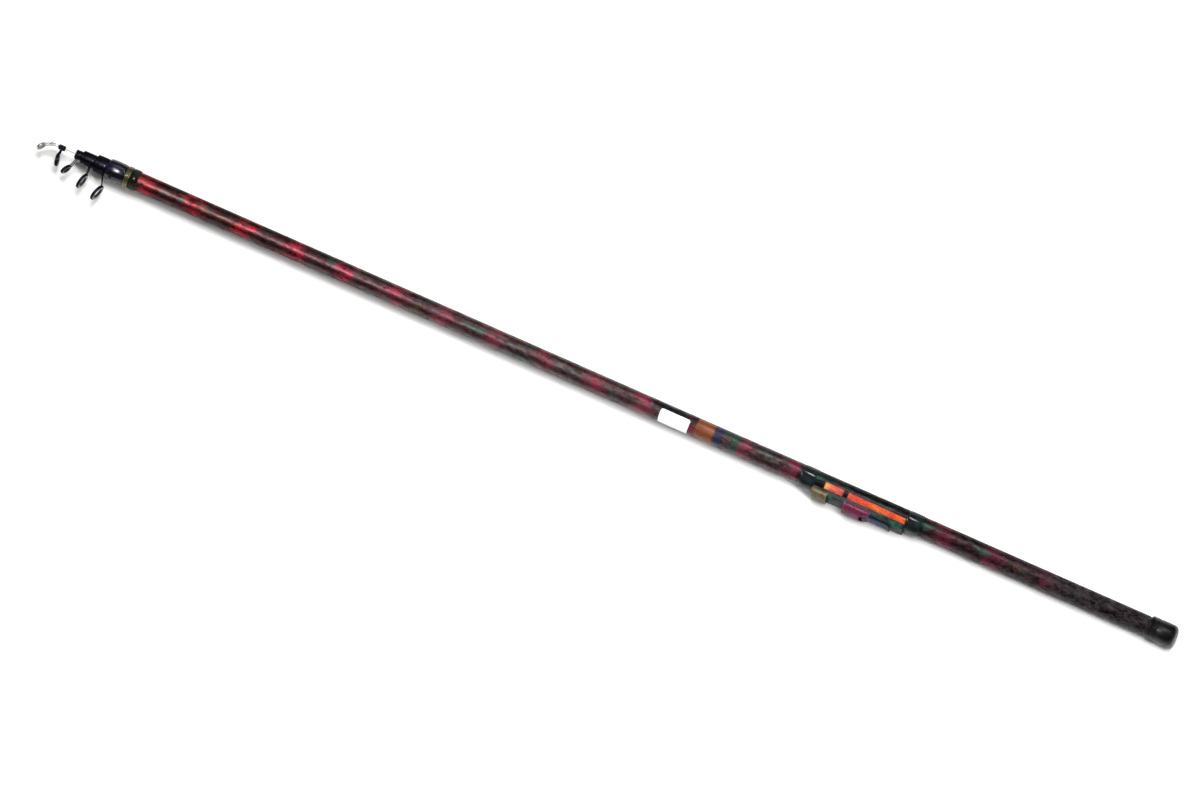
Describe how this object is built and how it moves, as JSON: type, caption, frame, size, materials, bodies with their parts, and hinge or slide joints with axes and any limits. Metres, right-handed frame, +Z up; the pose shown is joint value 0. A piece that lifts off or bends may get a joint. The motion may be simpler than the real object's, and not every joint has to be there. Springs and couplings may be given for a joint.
{
  "type": "telescopic fishing rod",
  "caption": "Collapsed telescopic fishing rod with line guides, a clip reel seat and a screw-in butt cap, lying on its side.",
  "frame": {"origin": "under the middle of the rod's bounding box, on the surface that it lies on", "axes": "+X along the rod from the tip-top to the butt cap, -Y the side that the guides and the reel seat point to, +Z up"},
  "size_m": [1.2544, 0.0498, 0.025],
  "materials": {
    "marbled_lacquer": "gloss",
    "tip_lacquer": "satin",
    "black_lacquer": "gloss",
    "gold_band": "satin",
    "label_film": "satin",
    "seat_plate": "satin",
    "fixed_hood": "satin",
    "slide_hood": "gloss",
    "lock_lever": "satin",
    "pin_steel": "satin",
    "guide_frame": "satin",
    "tip_top_frame": "polished",
    "ring_ceramic": "gloss",
    "thread_aluminium": "satin",
    "black_rubber": "matte",
    "pad_foam": "matte"
  },
  "bodies": {
    "butt": {"butt_blank": "marbled_lacquer", "butt_collar": "black_lacquer", "winding_check": "gold_band", "collar_band": "black_lacquer", "blank_label": "label_film", "seat_plate": "seat_plate", "seat_front_binding": "black_lacquer", "seat_rear_binding": "black_lacquer", "fixed_hood": "fixed_hood", "thread_bush": "thread_aluminium"},
    "slide_hood": {"slide_hood": "slide_hood", "lever_pin": "pin_steel"},
    "lock_lever": {"lock_lever": "lock_lever"},
    "cap_seal": {"cap_seal": "black_rubber"},
    "butt_cap": {"cap_plug": "thread_aluminium", "cap_pad": "pad_foam", "cap_boot": "black_rubber"},
    "section_2": {"section_2_blank": "marbled_lacquer", "section_2_whipping": "black_lacquer", "guide_2_frame": "guide_frame", "guide_2_ring": "ring_ceramic"},
    "section_3": {"section_3_blank": "marbled_lacquer", "section_3_whipping": "black_lacquer", "guide_3_frame": "guide_frame", "guide_3_ring": "ring_ceramic"},
    "section_4": {"section_4_blank": "marbled_lacquer", "section_4_whipping": "black_lacquer", "guide_4_frame": "guide_frame", "guide_4_ring": "ring_ceramic"},
    "tip_section": {"tip_blank": "tip_lacquer", "tip_top_frame": "tip_top_frame", "tip_top_ring": "ring_ceramic"},
    "sliding_guide": {"sliding_guide_frame": "guide_frame", "sliding_guide_ring": "ring_ceramic"}
  },
  "joints": [
    {"name": "section_2_slide", "type": "slide", "parent": "butt", "child": "section_2", "axis": [-1, 0, 0], "range_m": [0, 1.0104]},
    {"name": "section_3_slide", "type": "slide", "parent": "section_2", "child": "section_3", "axis": [-1, 0, 0], "range_m": [0, 1.0334]},
    {"name": "section_4_slide", "type": "slide", "parent": "section_3", "child": "section_4", "axis": [-1, 0, 0], "range_m": [0, 1.0587]},
    {"name": "tip_section_slide", "type": "slide", "parent": "section_4", "child": "tip_section", "axis": [-1, 0, 0], "range_m": [0, 1.0761]},
    {"name": "sliding_guide_slide", "type": "slide", "parent": "tip_section", "child": "sliding_guide", "axis": [1, 0, 0], "range_m": [0, 0.5175]},
    {"name": "slide_hood_slide", "type": "slide", "parent": "butt", "child": "slide_hood", "axis": [1, 0, 0], "range_m": [-0.018, 0.033]},
    {"name": "lock_lever_hinge", "type": "hinge", "parent": "slide_hood", "child": "lock_lever", "pos_m": [0.29165, -0.00448, 0.0125], "axis": [0, 0, -1], "range_deg": [0, 100]},
    {"name": "cap_travel", "type": "slide", "parent": "butt", "child": "cap_seal", "axis": [1, 0, 0], "range_m": [0, 0.0076]},
    {"name": "cap_turn", "type": "hinge", "parent": "cap_seal", "child": "butt_cap", "pos_m": [0.59755, 0.0124, 0.0125], "axis": [1, 0, 0], "range_deg": [0, 1800]}
  ],
  "couplings": [
    {"joint": "sliding_guide_slide", "follows": "tip_section_slide", "ratio": 0.4808},
    {"joint": "cap_travel", "follows": "cap_turn", "m_per_rad": 0.00023873}
  ]
}
